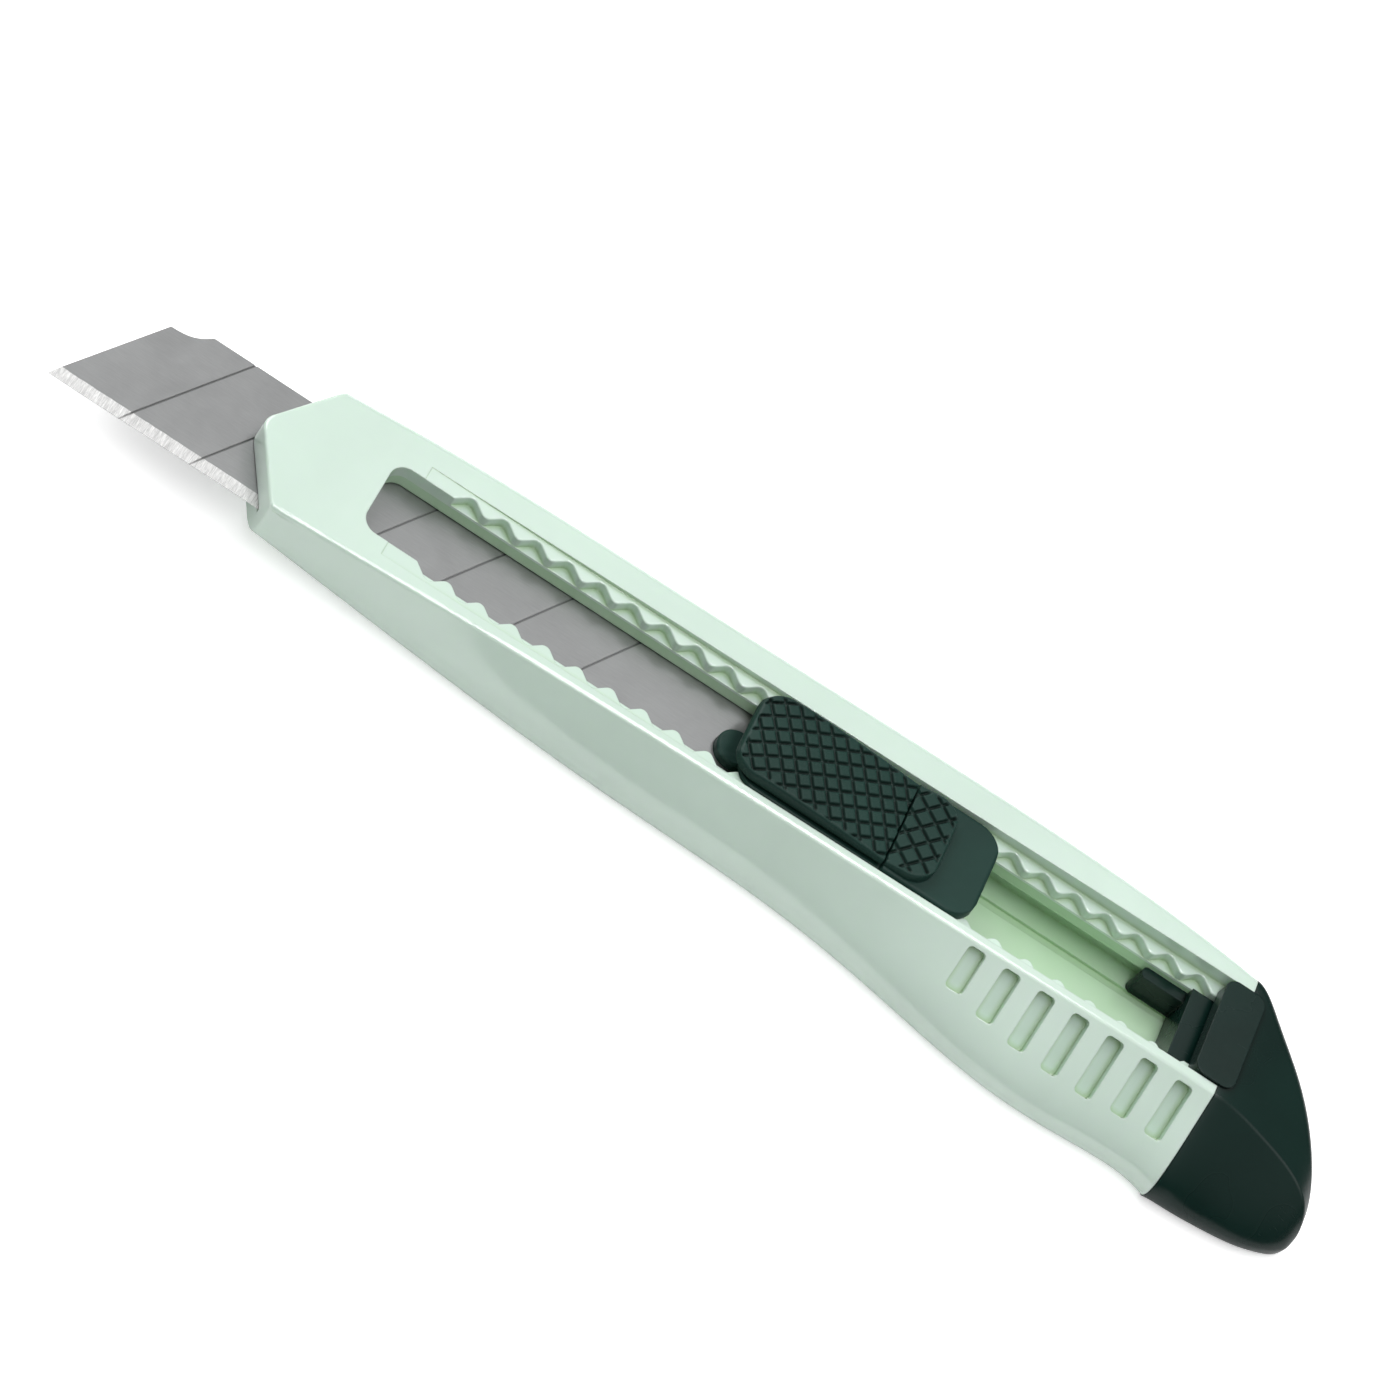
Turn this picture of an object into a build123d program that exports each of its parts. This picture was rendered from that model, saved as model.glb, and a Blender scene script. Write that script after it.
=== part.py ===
"""Snap-off knife with an 18 mm blade, a click slider and a pull-off end cap.

The knife lies on its flat underside. +X runs from the blade's tip to the cap, +Y from the
cutting edge to the blade's back, +Z up. The origin is on the underside, on the blade's
centre line, half way along the handle and cap. Lengths are in millimetres.
"""

import os
from math import cos, radians, sin, tan

from build123d import *

# ---- Blade: the standard 18 mm segmented blade -----------------------------------------
BLADE_LENGTH = 100.0
BLADE_WIDTH = 18.0
BLADE_THICK = 0.5
SCORE_ANGLE = 60.0
SEGMENT_PITCH = 10.0
SEGMENT_COUNT = 7
SCORE_WIDTH = 0.28
SCORE_DEPTH = 0.14
BEVEL_WIDTH = 1.7
EDGE_LAND = 0.08
BLADE_TIP_X = -107.0
BLADE_BOTTOM_Z = 6.1
STEP_DEPTH = 2.1
STEP_LENGTH = 5.2

# ---- Handle moulding ---------------------------------------------------------------------
NOSE_X = -82.6
NOSE_SHOULDER_X = -75.6
JOINT_X = 60.0
TAIL_X = 81.0
LEDGE_TOP_Z = 10.5
NOTCH_FLOOR_Z = 8.9
LEDGE_BOTTOM_Z = 6.75
BLADE_FLOOR_Z = 5.95
CARRIER_FLOOR_Z = 3.4
BLADE_CHANNEL_HALF = 9.15
CARRIER_CHANNEL_HALF = 7.4
CARRIER_CHANNEL_X = -72.0
SLOT_X = -66.0
SLOT_HALF = 5.6
SLOT_CORNER = 2.2
CREST_Y = 5.35
VALLEY_Y = 7.4
NOTCH_ROUND = 1.0
NOTCH_PITCH = 4.74
NOTCH_FIRST_X = -55.6
NOTCH_COUNT = 24
RIM_X = -62.0
RIM_HALF = 7.7
GUIDE_GROOVE = (1.2, 0.5)
GUIDE_GROOVE_Y = 3.6
POCKET_LENGTHS = (5.9, 7.0, 7.8, 8.1, 8.2, 7.8, 7.8)
POCKET_PITCH = 5.13
POCKET_FIRST_X = 25.5
POCKET_TOP_Y = -9.4
POCKET_TOP_Z = 11.6
POCKET_WIDTH = 2.5
POCKET_DEPTH = 1.5
POCKET_SLOPE = 34.0
SOCKET_X = 52.0
SOCKET_Y = (-16.4, -10.2)
SOCKET_Z = (2.0, 5.0)

# Stations of the outer form and of the cap: x, far side, near crest, near bulge and its height, top, underside.
# The underside is below zero where it is then cut off flat.
STATIONS = [
    (-86.0, 10.6, 10.9, 11.1, 6.6, 10.5, 2.6),
    (-72.0, 11.5, 10.4, 11.0, 6.2, 10.5, 1.9),
    (-58.0, 12.6, 9.7, 11.4, 4.8, 10.6, 0.6),
    (-36.0, 13.0, 9.0, 12.6, 3.4, 11.0, -0.15),
    (-10.0, 13.1, 8.9, 13.5, 3.0, 11.5, -0.15),
    (10.0, 13.3, 8.9, 14.9, 2.8, 11.8, -0.15),
    (26.0, 13.2, 8.9, 17.8, 2.8, 12.1, -0.15),
    (40.0, 12.7, 8.9, 19.5, 2.8, 12.4, -0.15),
    (60.0, 10.8, 9.0, 20.0, 2.8, 12.6, -0.15),
]
CAP_STATIONS = [
    (60.08, 10.8, 9.0, 20.0, 2.8, 12.6, -0.4),
    (64.0, 8.3, 9.1, 19.8, 2.8, 12.2, -0.4),
    (68.0, 5.0, 9.4, 19.5, 2.7, 11.2, -0.4),
    (72.0, 1.5, 9.8, 19.0, 2.6, 10.0, -0.4),
    (75.2, -2.3, 10.4, 18.2, 2.4, 8.8, -0.4),
    (77.6, -6.3, 11.2, 17.1, 2.2, 7.4, -0.4),
    (79.2, -9.5, 12.2, 15.9, 2.0, 5.6, -0.4),
    (80.0, -11.4, 13.6, 14.6, 1.8, 3.6, 0.6),
]
CREST_ROUND = 0.7
NOSE_ROUND = 0.4
WAVE_ROUND = 0.2


def outer_section(x, far, ridge, bulge, bulge_z, top, under):
    """Outline of the handle across its length, at the place x. Its corners shrink with it."""
    across = min(1.0, (far + bulge) / 16)
    upright = min(1.0, (top - under) / 9)
    shoulder_far = far - 2.4 * across
    heel_far = far - 3.0 * across
    heel_near = 3.2 * across - bulge
    wall_top = top - 3.2 * upright
    wall_bottom = under + 2.6 * upright
    rise = top - bulge_z
    with BuildSketch(Plane.YZ.offset(x)) as section:
        with BuildLine():
            Line((-ridge, top), (shoulder_far, top))
            Bezier(
                (shoulder_far, top), (far - 0.4 * across, top),
                (far, top - 1.2 * upright), (far, wall_top),
            )
            Line((far, wall_top), (far, wall_bottom))
            Bezier(
                (far, wall_bottom), (far, under + 0.8 * upright),
                (far - across, under), (heel_far, under),
            )
            Line((heel_far, under), (heel_near, under))
            Bezier(
                (heel_near, under), (across - bulge, under),
                (-bulge, under + 0.4 * (bulge_z - under)), (-bulge, bulge_z),
            )
            Bezier(
                (-bulge, bulge_z), (-bulge, bulge_z + 0.30 * rise),
                (-0.58 * ridge - 0.42 * bulge, top - 0.33 * rise), (-ridge, top),
            )
        make_face()
    return section.sketch


# ---- Slider ------------------------------------------------------------------------------
BOSS_X = -12.0
BOSS_Y = -0.8
BOSS_RADIUS = 2.65
BOSS_TOP_Z = 7.9
HOLE_CLEARANCE = 0.06
CARRIER_FRONT_X = -19.0
CARRIER_REAR_X = 13.2
CARRIER_HALF = 7.15
CARRIER_TOP_Z = 6.05
CARRIER_BOTTOM_Z = 3.6
BLOCK_FRONT_X = -6.6
BLOCK_HALF = 5.2
BLOCK_TOP_Z = 8.7
NECK_X = (-1.0, 11.0)
NECK_HALF = 3.4
PEG_RADIUS = 1.2
PEG_XS = (1.4, 8.6)
PEG_BOTTOM_Z = 6.5
PLATE_FRONT_X = -11.6
PLATE_REAR_X = 22.9
PLATE_HALF = 7.35
PLATE_BOTTOM_Z = 10.65
PLATE_TOP_Z = 11.8
TRAY_TOP_Z = 11.05
PAD_HALF = 6.75
PAD_FRONT_X = -12.6
PAD_CORNER = 3.0
GAP_X = 9.9
GAP = 0.3
REAR_BLOCK_END_X = 16.2
CREST_X = -6.0
CREST_Z = 13.3
DIP_Z = 12.6
REAR_TOP_Z = 13.5
LIP_Z = 12.5
BUTTON_BOTTOM_Z = 11.7
BUTTON_TRAVEL = 0.6
CAVITY_X = (-8.6, 3.0)
CAVITY_HALF = 4.6
CAVITY_TOP_Z = 12.2
PIN_RADIUS = 0.8
PIN_XS = (-9.6, 5.0)
PIN_BOTTOM_Z = 9.7
PIN_CLEARANCE = 0.1

# ---- Springs -------------------------------------------------------------------------------
SPRING_THICK = 0.4
SPRING_Z = (9.2, 10.2)
SPRING_ARM_Y = 4.2
SPRING_BEND_X = 9.5
SPRING_TIP_Y = 6.85
SPRING_TIP_REACH = 2.3
SPRING_TIP_X = NOTCH_FIRST_X + 11 * NOTCH_PITCH
SPRING_END_Y = 4.3
LEAF_X = (-7.9, 2.3)
LEAF_HALF = 2.0
LEAF_THICK = 0.15
LEAF_CLEARANCE = 0.02

# ---- End cap -------------------------------------------------------------------------------
JOINT_GAP = 0.08
TAB_FRONT_X = 56.2
TAB_HALF = 7.55
TAB_TOP_Z = 12.95
TAB_CORNER = 1.6
PLUG_FRONT_X = 53.4
PLUG_HALF = 5.35
PLUG_TOP_Z = 9.6
HOOK_FRONT_X = 46.9
HOOK_Y = (3.9, 5.6)
HOOK_TOP_Z = 7.8
CAP_CLEARANCE = 0.12
SPIGOT_X = 52.5


def flat(z):
    """Plane parallel to the underside at height z."""
    return Plane.XY.offset(z)


def box_cut(x0, x1, half, z0, z1, mode=Mode.SUBTRACT):
    """Straight channel along X, centred on the blade's centre line."""
    with BuildSketch(flat(z0)) as channel:
        with Locations(((x0 + x1) / 2, 0)):
            Rectangle(x1 - x0, 2 * half)
    extrude(channel.sketch, amount=z1 - z0, mode=mode)


os.makedirs("parts", exist_ok=True)

# ---- Handle body ---------------------------------------------------------------------------
with BuildPart() as handle_body:
    loft(sections=[outer_section(*station) for station in STATIONS])
    # The crest between the top and the near side is rounded
    near_crest = edges().filter_by(lambda edge: edge.length > JOINT_X and (edge @ 0.5).Y < 0)
    fillet(near_crest.sort_by(Axis.Z)[-1], CREST_ROUND)
    # The nose comes to a blunt point, and the rear end is cut square
    with BuildSketch(flat(0)):
        with BuildLine():
            nose = FilletPolyline(
                (JOINT_X, -24), (NOSE_SHOULDER_X - 0.3, -24), (NOSE_SHOULDER_X - 0.3, -11.2),
                (NOSE_X, 0), (NOSE_SHOULDER_X, 10.6), (NOSE_SHOULDER_X, 24), (JOINT_X, 24),
                radius=2.4,
            )
            Line(nose @ 1, nose @ 0)
        make_face()
    extrude(amount=16, mode=Mode.INTERSECT)
    nose_rims = edges().filter_by(
        lambda edge: (edge @ 0.5).X < NOSE_SHOULDER_X + 0.5
        and ((edge @ 0.5).Z > LEDGE_TOP_Z - 0.5 or (edge @ 0.5).Z < CARRIER_FLOOR_Z + 0.3)
    )
    fillet(nose_rims, NOSE_ROUND)
    box_cut(NOSE_X - 5, JOINT_X + 1, BLADE_CHANNEL_HALF, BLADE_FLOOR_Z, LEDGE_BOTTOM_Z)
    box_cut(CARRIER_CHANNEL_X, JOINT_X + 1, CARRIER_CHANNEL_HALF, CARRIER_FLOOR_Z, BLADE_FLOOR_Z)
    # Slot with rounded front corners
    with BuildSketch(flat(BLADE_FLOOR_Z)):
        with Locations(((SLOT_X + JOINT_X) / 2 + 5, 0)):
            RectangleRounded(JOINT_X - SLOT_X + 10, 2 * SLOT_HALF, SLOT_CORNER)
    extrude(amount=10, mode=Mode.SUBTRACT)
    # Wavy notches in the upper part of both ledges: a zigzag with rounded corners
    for side in (1, -1):
        zigzag = [(NOTCH_FIRST_X - NOTCH_PITCH / 2, side * CREST_Y)]
        for count in range(NOTCH_COUNT):
            valley_x = NOTCH_FIRST_X + count * NOTCH_PITCH
            zigzag += [(valley_x, side * VALLEY_Y), (valley_x + NOTCH_PITCH / 2, side * CREST_Y)]
        first_x, last_x = zigzag[0][0], zigzag[-1][0]
        with BuildSketch(flat(NOTCH_FLOOR_Z)):
            with BuildLine():
                wave = FilletPolyline(
                    (first_x - 2, side * CREST_Y), *zigzag, (last_x + 2, side * CREST_Y), radius=NOTCH_ROUND
                )
                Polyline(wave @ 1, (last_x + 2, side * 4), (first_x - 2, side * 4), wave @ 0)
            make_face()
        extrude(amount=5, mode=Mode.SUBTRACT)
    box_cut(RIM_X, JOINT_X + 1, RIM_HALF, LEDGE_TOP_Z, LEDGE_TOP_Z + 5)
    wave_rims = edges().filter_by(
        lambda edge: abs((edge @ 0.5).Z - LEDGE_TOP_Z) < 0.02
        and SLOT_HALF - 0.6 < abs((edge @ 0.5).Y) < VALLEY_Y - 0.1
        and (edge @ 0.5).X > RIM_X + 4
    )
    fillet(wave_rims, WAVE_ROUND)
    # Two guide grooves along the floor
    groove_width, groove_depth = GUIDE_GROOVE
    for side in (1, -1):
        with BuildSketch(flat(CARRIER_FLOOR_Z - groove_depth)):
            with Locations(((CARRIER_CHANNEL_X + JOINT_X) / 2 + 1, side * GUIDE_GROOVE_Y)):
                Rectangle(JOINT_X - CARRIER_CHANNEL_X, groove_width)
        extrude(amount=groove_depth, mode=Mode.SUBTRACT)
    # Seven pockets across the near shoulder, their floors along its slope
    for count, length in enumerate(POCKET_LENGTHS):
        across = Vector(0, -cos(radians(POCKET_SLOPE)), -sin(radians(POCKET_SLOPE)))
        top = Vector(POCKET_FIRST_X + count * POCKET_PITCH, POCKET_TOP_Y, POCKET_TOP_Z)
        slope = Plane(origin=top + across * (length / 2), x_dir=(1, 0, 0), z_dir=(0, across.Z, -across.Y))
        with BuildSketch(slope.offset(-POCKET_DEPTH)):
            RectangleRounded(POCKET_WIDTH, length, 0.6)
        extrude(amount=POCKET_DEPTH + 4, mode=Mode.SUBTRACT)
    # Socket that the cap's spigot pushes into
    with BuildSketch(Plane.YZ.offset(SOCKET_X)):
        with Locations((sum(SOCKET_Y) / 2, sum(SOCKET_Z) / 2)):
            RectangleRounded(SOCKET_Y[1] - SOCKET_Y[0], SOCKET_Z[1] - SOCKET_Z[0], 1.2)
    extrude(amount=JOINT_X - SOCKET_X + 1, mode=Mode.SUBTRACT)

# ---- Blade -----------------------------------------------------------------------------------
EDGE_Y = -BLADE_WIDTH / 2
BACK_Y = BLADE_WIDTH / 2
SLANT = BLADE_WIDTH / tan(radians(SCORE_ANGLE))
BLADE_TOP_Z = BLADE_BOTTOM_Z + BLADE_THICK
BLADE_MID_Z = BLADE_BOTTOM_Z + BLADE_THICK / 2
with BuildPart() as blade:
    with BuildSketch(Plane.YZ.offset(BLADE_TIP_X)):
        with BuildLine():
            Polyline(
                (EDGE_Y, BLADE_MID_Z + EDGE_LAND / 2), (EDGE_Y + BEVEL_WIDTH, BLADE_TOP_Z),
                (BACK_Y, BLADE_TOP_Z), (BACK_Y, BLADE_BOTTOM_Z),
                (EDGE_Y + BEVEL_WIDTH, BLADE_BOTTOM_Z), (EDGE_Y, BLADE_MID_Z - EDGE_LAND / 2),
                close=True,
            )
        make_face()
    extrude(amount=BLADE_LENGTH)
    # Slanted front, the step cut from its back corner, and the trimmed tail
    tail_x = BLADE_TIP_X + BLADE_LENGTH
    step_x = BLADE_TIP_X + SLANT * (BLADE_WIDTH - STEP_DEPTH) / BLADE_WIDTH
    step_y = BACK_Y - STEP_DEPTH
    with BuildSketch(flat(BLADE_BOTTOM_Z - 1)):
        with BuildLine():
            step = Bezier(
                (step_x, step_y), (step_x + 0.45 * STEP_LENGTH, step_y + 0.05),
                (step_x + 0.65 * STEP_LENGTH, step_y + 0.3), (step_x + STEP_LENGTH, BACK_Y),
            )
            Polyline(
                step @ 1, (tail_x - 2, BACK_Y), (tail_x, BACK_Y - 2), (tail_x, EDGE_Y + 3),
                (tail_x - 3, EDGE_Y), (BLADE_TIP_X, EDGE_Y), step @ 0,
            )
        make_face()
    extrude(amount=2 + BLADE_THICK, mode=Mode.INTERSECT)
    # Score lines between the segments, cut in the top face
    with BuildSketch(flat(BLADE_TOP_Z - SCORE_DEPTH)):
        for count in range(1, SEGMENT_COUNT + 1):
            with Locations((BLADE_TIP_X + count * SEGMENT_PITCH + SLANT / 2, 0)):
                Rectangle(2 * SLANT * 1.2, SCORE_WIDTH, rotation=SCORE_ANGLE)
    extrude(amount=1, mode=Mode.SUBTRACT)
    with Locations((BOSS_X, BOSS_Y, BLADE_MID_Z)):
        Hole(BOSS_RADIUS + HOLE_CLEARANCE)

# ---- Blade carrier: tongue under the blade with the boss and the rear block ---------------------
with BuildPart() as blade_carrier:
    with BuildSketch(flat(CARRIER_BOTTOM_Z)):
        with Locations(((CARRIER_FRONT_X + CARRIER_REAR_X) / 2, 0)):
            RectangleRounded(CARRIER_REAR_X - CARRIER_FRONT_X, 2 * CARRIER_HALF, 1.5)
    extrude(amount=CARRIER_TOP_Z - CARRIER_BOTTOM_Z)
    with BuildSketch(flat(CARRIER_TOP_Z)):
        with Locations((BOSS_X, BOSS_Y)):
            Circle(BOSS_RADIUS)
    extrude(amount=BOSS_TOP_Z - CARRIER_TOP_Z)
    chamfer(edges().filter_by(GeomType.CIRCLE).sort_by(Axis.Z)[-1], 0.3)
    box_cut(BLOCK_FRONT_X, CARRIER_REAR_X, BLOCK_HALF, CARRIER_TOP_Z, BLOCK_TOP_Z, Mode.ADD)
    with Locations(*[(x, 0, BLOCK_TOP_Z) for x in PEG_XS]):
        Hole(PEG_RADIUS, depth=BLOCK_TOP_Z - PEG_BOTTOM_Z + 0.2)

# ---- Slider base: plate over the ledges, neck, pegs and the rear chequered block ----------------
with BuildPart() as slider_base:
    with BuildSketch(flat(PLATE_BOTTOM_Z)):
        with Locations(((PLATE_FRONT_X + PLATE_REAR_X) / 2, 0)):
            RectangleRounded(PLATE_REAR_X - PLATE_FRONT_X, 2 * PLATE_HALF, 3.6)
    extrude(amount=PLATE_TOP_Z - PLATE_BOTTOM_Z)
    box_cut(PLATE_FRONT_X - 1, GAP_X + GAP / 2, PLATE_HALF + 1, TRAY_TOP_Z, PLATE_TOP_Z + 1)
    # Rear block, higher at its back, with rounded rear corners
    with BuildSketch(Plane.XZ.offset(-PAD_HALF)):
        with BuildLine():
            Polyline(
                (REAR_BLOCK_END_X, REAR_TOP_Z - 0.9), (REAR_BLOCK_END_X, PLATE_BOTTOM_Z + 0.4),
                (GAP_X + GAP / 2, PLATE_BOTTOM_Z + 0.4), (GAP_X + GAP / 2, DIP_Z),
            )
            Bezier(
                (GAP_X + GAP / 2, DIP_Z), (GAP_X + 2.4, DIP_Z + 0.5),
                (REAR_BLOCK_END_X - 0.4, REAR_TOP_Z + 0.1), (REAR_BLOCK_END_X, REAR_TOP_Z - 0.9),
            )
        make_face()
    extrude(amount=2 * PAD_HALF)
    rear_corners = edges().filter_by(Axis.Z).filter_by_position(
        Axis.X, REAR_BLOCK_END_X - 0.01, REAR_BLOCK_END_X + 0.01
    )
    fillet(rear_corners, PAD_CORNER)
    box_cut(*NECK_X, NECK_HALF, BLOCK_TOP_Z, PLATE_BOTTOM_Z, Mode.ADD)
    with BuildSketch(flat(PEG_BOTTOM_Z)):
        with Locations(*[(x, 0) for x in PEG_XS]):
            Circle(PEG_RADIUS)
    extrude(amount=BLOCK_TOP_Z - PEG_BOTTOM_Z)
    # Holes for the button's guide pins
    with BuildSketch(flat(PIN_BOTTOM_Z - BUTTON_TRAVEL - 0.2)):
        with Locations(*[(x, 0) for x in PIN_XS]):
            Circle(PIN_RADIUS + PIN_CLEARANCE)
    extrude(amount=TRAY_TOP_Z - PIN_BOTTOM_Z + BUTTON_TRAVEL + 1, mode=Mode.SUBTRACT)

# ---- Thumb button: the front chequered block -----------------------------------------------------
with BuildPart() as thumb_button:
    with BuildSketch(Plane.XZ.offset(-PAD_HALF)):
        with BuildLine():
            Polyline(
                (GAP_X - GAP / 2, DIP_Z), (GAP_X - GAP / 2, BUTTON_BOTTOM_Z),
                (PAD_FRONT_X, BUTTON_BOTTOM_Z), (PAD_FRONT_X, LIP_Z),
            )
            Spline(
                (PAD_FRONT_X, LIP_Z), (CREST_X, CREST_Z), (GAP_X - GAP / 2, DIP_Z),
                tangents=[(1, 0.45), (1, -0.08)],
            )
        make_face()
    extrude(amount=2 * PAD_HALF)
    front_corners = edges().filter_by(Axis.Z).filter_by_position(
        Axis.X, PAD_FRONT_X - 0.01, PAD_FRONT_X + 0.01
    )
    fillet(front_corners, PAD_CORNER)
    box_cut(*CAVITY_X, CAVITY_HALF, BUTTON_BOTTOM_Z, CAVITY_TOP_Z)
    with BuildSketch(flat(PIN_BOTTOM_Z)):
        with Locations(*[(x, 0) for x in PIN_XS]):
            Circle(PIN_RADIUS)
    extrude(amount=BUTTON_BOTTOM_Z - PIN_BOTTOM_Z + 0.3)

# ---- Lock spring: U-shaped strip, its bent tips in the wavy notches --------------------------------
with BuildPart() as lock_spring:
    arm_front_x = SPRING_TIP_X + SPRING_TIP_REACH
    with BuildSketch(flat(SPRING_Z[0])):
        with BuildLine():
            for side in (1, -1):
                FilletPolyline(
                    (SPRING_BEND_X, side * SPRING_ARM_Y), (arm_front_x, side * SPRING_ARM_Y),
                    (SPRING_TIP_X, side * SPRING_TIP_Y),
                    (SPRING_TIP_X - SPRING_TIP_REACH, side * SPRING_END_Y), radius=0.7,
                )
            ThreePointArc(
                (SPRING_BEND_X, SPRING_ARM_Y), (SPRING_BEND_X + SPRING_ARM_Y, 0),
                (SPRING_BEND_X, -SPRING_ARM_Y),
            )
        trace(line_width=SPRING_THICK)
    extrude(amount=SPRING_Z[1] - SPRING_Z[0])

# ---- Button spring: bowed leaf between the slider base and the button --------------------------------
with BuildPart() as button_spring:
    leaf_low = TRAY_TOP_Z + LEAF_CLEARANCE
    leaf_high = CAVITY_TOP_Z - LEAF_CLEARANCE
    leaf_mid_x = sum(LEAF_X) / 2
    with BuildSketch(Plane.XZ.offset(-LEAF_HALF)):
        with BuildLine():
            under = ThreePointArc(
                (LEAF_X[0], leaf_low), (leaf_mid_x, leaf_high - LEAF_THICK), (LEAF_X[1], leaf_low)
            )
            over = ThreePointArc(
                (LEAF_X[0], leaf_low + LEAF_THICK), (leaf_mid_x, leaf_high),
                (LEAF_X[1], leaf_low + LEAF_THICK),
            )
            Line(under @ 0, over @ 0)
            Line(under @ 1, over @ 1)
        make_face()
    extrude(amount=2 * LEAF_HALF)

# ---- End cap ---------------------------------------------------------------------------------------
with BuildPart() as end_cap:
    loft(sections=[outer_section(*station) for station in CAP_STATIONS])
    near_lines = edges().filter_by(
        lambda edge: edge.length > 20 and max((edge @ 0).Y, (edge @ 1).Y) < -RIM_HALF
    )
    fillet(near_lines.sort_by(Axis.Z)[-1], CREST_ROUND)
    with BuildSketch(flat(0)):
        Rectangle(2 * TAIL_X, 60)
    extrude(amount=16, mode=Mode.INTERSECT)
    # Tab that closes the slot between the rims, with a fine step behind it
    with BuildSketch(flat(LEDGE_TOP_Z + CAP_CLEARANCE)):
        with Locations(((TAB_FRONT_X + JOINT_X + 2) / 2, 0)):
            RectangleRounded(JOINT_X + 2 - TAB_FRONT_X, 2 * TAB_HALF, TAB_CORNER)
    extrude(amount=TAB_TOP_Z - LEDGE_TOP_Z - CAP_CLEARANCE)
    # Plug in the slot and the carrier channel, and the hook along the far side of the floor
    plug_bottom = CARRIER_FLOOR_Z + CAP_CLEARANCE
    box_cut(PLUG_FRONT_X, JOINT_X + 1, PLUG_HALF, plug_bottom, PLUG_TOP_Z, Mode.ADD)
    box_cut(TAB_FRONT_X + 1, JOINT_X + 1, PLUG_HALF, PLUG_TOP_Z, LEDGE_TOP_Z + 1, Mode.ADD)
    with BuildSketch(flat(plug_bottom)):
        with Locations(((HOOK_FRONT_X + PLUG_FRONT_X + 2) / 2, sum(HOOK_Y) / 2)):
            RectangleRounded(PLUG_FRONT_X + 2 - HOOK_FRONT_X, HOOK_Y[1] - HOOK_Y[0], 0.8)
    extrude(amount=HOOK_TOP_Z - plug_bottom)
    # Spigot in the thick near side
    with BuildSketch(Plane.YZ.offset(SPIGOT_X)):
        with Locations((sum(SOCKET_Y) / 2, sum(SOCKET_Z) / 2)):
            RectangleRounded(
                SOCKET_Y[1] - SOCKET_Y[0] - 2 * CAP_CLEARANCE,
                SOCKET_Z[1] - SOCKET_Z[0] - 2 * CAP_CLEARANCE, 1.1,
            )
    extrude(amount=JOINT_X - SPIGOT_X + 1)

PARTS = {
    "handle_body": handle_body,
    "blade": blade,
    "blade_carrier": blade_carrier,
    "slider_base": slider_base,
    "thumb_button": thumb_button,
    "lock_spring": lock_spring,
    "button_spring": button_spring,
    "end_cap": end_cap,
}
for name, piece in PARTS.items():
    piece.part.label = name
    export_step(piece.part, f"parts/{name}.step")
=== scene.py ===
"""Visual model of an 18 mm snap-off knife: pale moulded handle, dark slider and cap, steel blade.

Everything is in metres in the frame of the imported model: +X runs from the blade's tip to the
cap, +Y from the cutting edge to the blade's back, +Z up from the flat underside.
"""

import math

import bmesh
import bpy
from bpy.props import FloatProperty, FloatVectorProperty, PointerProperty
from bpy.types import Operator, Panel, PropertyGroup
from mathutils import Euler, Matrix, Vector


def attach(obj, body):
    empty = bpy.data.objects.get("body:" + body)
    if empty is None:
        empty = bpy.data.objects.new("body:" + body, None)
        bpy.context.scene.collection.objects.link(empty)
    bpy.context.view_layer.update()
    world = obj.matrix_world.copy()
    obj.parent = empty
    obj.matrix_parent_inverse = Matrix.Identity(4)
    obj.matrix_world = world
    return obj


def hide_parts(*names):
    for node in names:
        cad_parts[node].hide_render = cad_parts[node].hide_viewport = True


bl_info = {
    "name": "Snap-off Knife",
    "version": (1, 0, 0),
    "blender": (4, 5, 0),
    "location": "View3D > Sidebar > Knife",
    "description": "Builds the visible pieces and finishes of a snap-off knife",
    "category": "Object",
}

MM = 0.001
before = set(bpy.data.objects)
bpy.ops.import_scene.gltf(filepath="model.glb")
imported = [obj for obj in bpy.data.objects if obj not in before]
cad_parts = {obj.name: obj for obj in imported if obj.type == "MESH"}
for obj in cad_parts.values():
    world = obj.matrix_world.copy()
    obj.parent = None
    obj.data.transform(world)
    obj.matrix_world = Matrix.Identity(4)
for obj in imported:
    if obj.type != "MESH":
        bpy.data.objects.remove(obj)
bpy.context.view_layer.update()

# Blade: where its tip is, half its width, where its bevel starts, and its standard score lines.
TIP_X = -107.0 * MM
BLADE_HALF = 9.0 * MM
BEVEL_START_Y = -7.32 * MM
SCORE_PITCH = 10.0 * MM
SCORE_COUNT = 7
SCORE_SLANT = 1.0 / math.tan(math.radians(60))

# Channels in the handle, where painted light and shade make its plastic greener.
CHANNEL_FRONT_X = -74.0 * MM
CHANNEL_HALF = 9.2 * MM
CHANNEL_LOW_Z = 2.0 * MM
CHANNEL_HIGH_Z = 8.5 * MM

# Slider: a stepped plate, with the thumb button in front of the gap and the rear block behind it.
PLATE_FRONT_X = -11.6 * MM
PLATE_REAR_X = 22.9 * MM
PLATE_STEP_X = 10.0 * MM
PLATE_HALF = 7.25 * MM
PLATE_BOTTOM_Z = 10.65 * MM
PLATE_TRAY_Z = 11.05 * MM
PLATE_TOP_Z = 11.8 * MM
GRIP_HALF = 6.6 * MM
GRIP_CORNER = 3.4 * MM
GRIP_CROWN = 0.12 * MM
GRIP_FLARE = 0.15 * MM
BUTTON_FRONT_X = -12.6 * MM
BUTTON_CREST_X = -6.0 * MM
BUTTON_REAR_X = 9.75 * MM
BUTTON_CREST_Z = 13.28 * MM
BUTTON_FRONT_DROP = 0.75 * MM
BUTTON_REAR_DROP = 0.72 * MM
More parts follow.
